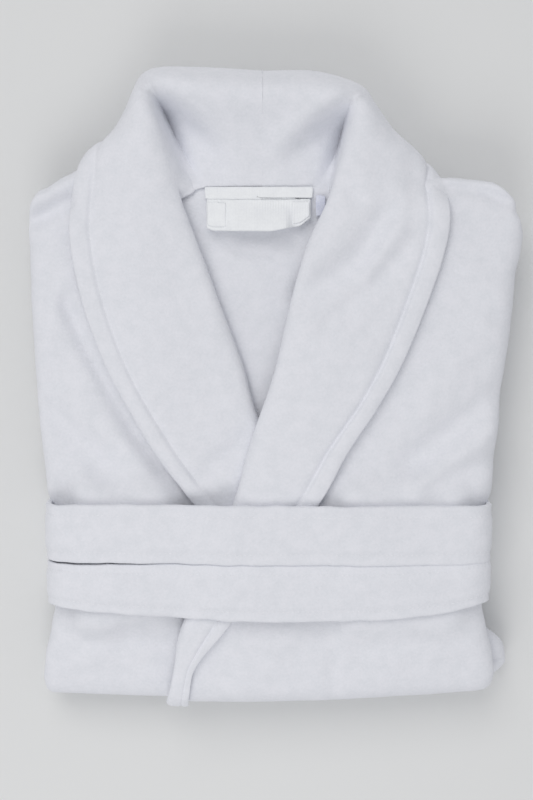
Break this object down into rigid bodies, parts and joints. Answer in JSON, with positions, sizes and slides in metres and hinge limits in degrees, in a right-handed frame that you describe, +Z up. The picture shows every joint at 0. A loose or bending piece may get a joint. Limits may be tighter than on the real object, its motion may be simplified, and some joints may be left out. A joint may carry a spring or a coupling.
{
  "type": "bathrobe",
  "caption": "White terry shawl-collar bathrobe, folded flat into a thick rectangular bundle and tied with its own sash in two turns.",
  "frame": {"origin": "middle of the folded bundle's footprint, on the surface it lies on", "axes": "+Z up out of the robe's front, +Y towards the collar, +X towards the wearer's left"},
  "size_m": [0.419, 0.5316, 0.0921],
  "materials": {
    "terry": "matt cotton terry velour, short sheared pile",
    "tape": "plain woven cotton tape",
    "label": "smooth satin label, blank"
  },
  "bodies": {
    "robe": {"front_left": "terry", "front_right": "terry", "back_panel": "terry", "sleeve_left": "terry", "sleeve_right": "terry", "cuff_left": "terry", "cuff_right": "terry", "collar_facing_left": "terry", "collar_facing_right": "terry", "under_collar_left": "terry", "under_collar_right": "terry", "pocket_left": "terry", "pocket_right": "terry", "belt_loop_left": "terry", "belt_loop_right": "terry", "neck_tape": "tape"},
    "sash": {"belt": "terry"},
    "hanger": {"hanger_loop": "tape"},
    "label": {"care_label": "label"}
  },
  "joints": [
    {"name": "belt_slide", "type": "slide", "parent": "robe", "child": "sash", "axis": [0, -1, 0], "range_m": [0, 0.195]},
    {"name": "hanger_loop_lift", "type": "hinge", "parent": "robe", "child": "hanger", "pos_m": [-0.009, 0.157, 0.0595], "axis": [-1, 0, 0], "range_deg": [0, 60]},
    {"name": "care_label_lift", "type": "hinge", "parent": "robe", "child": "label", "pos_m": [0.0428, 0.158, 0.0588], "axis": [-1, 0, 0], "range_deg": [0, 15]}
  ]
}
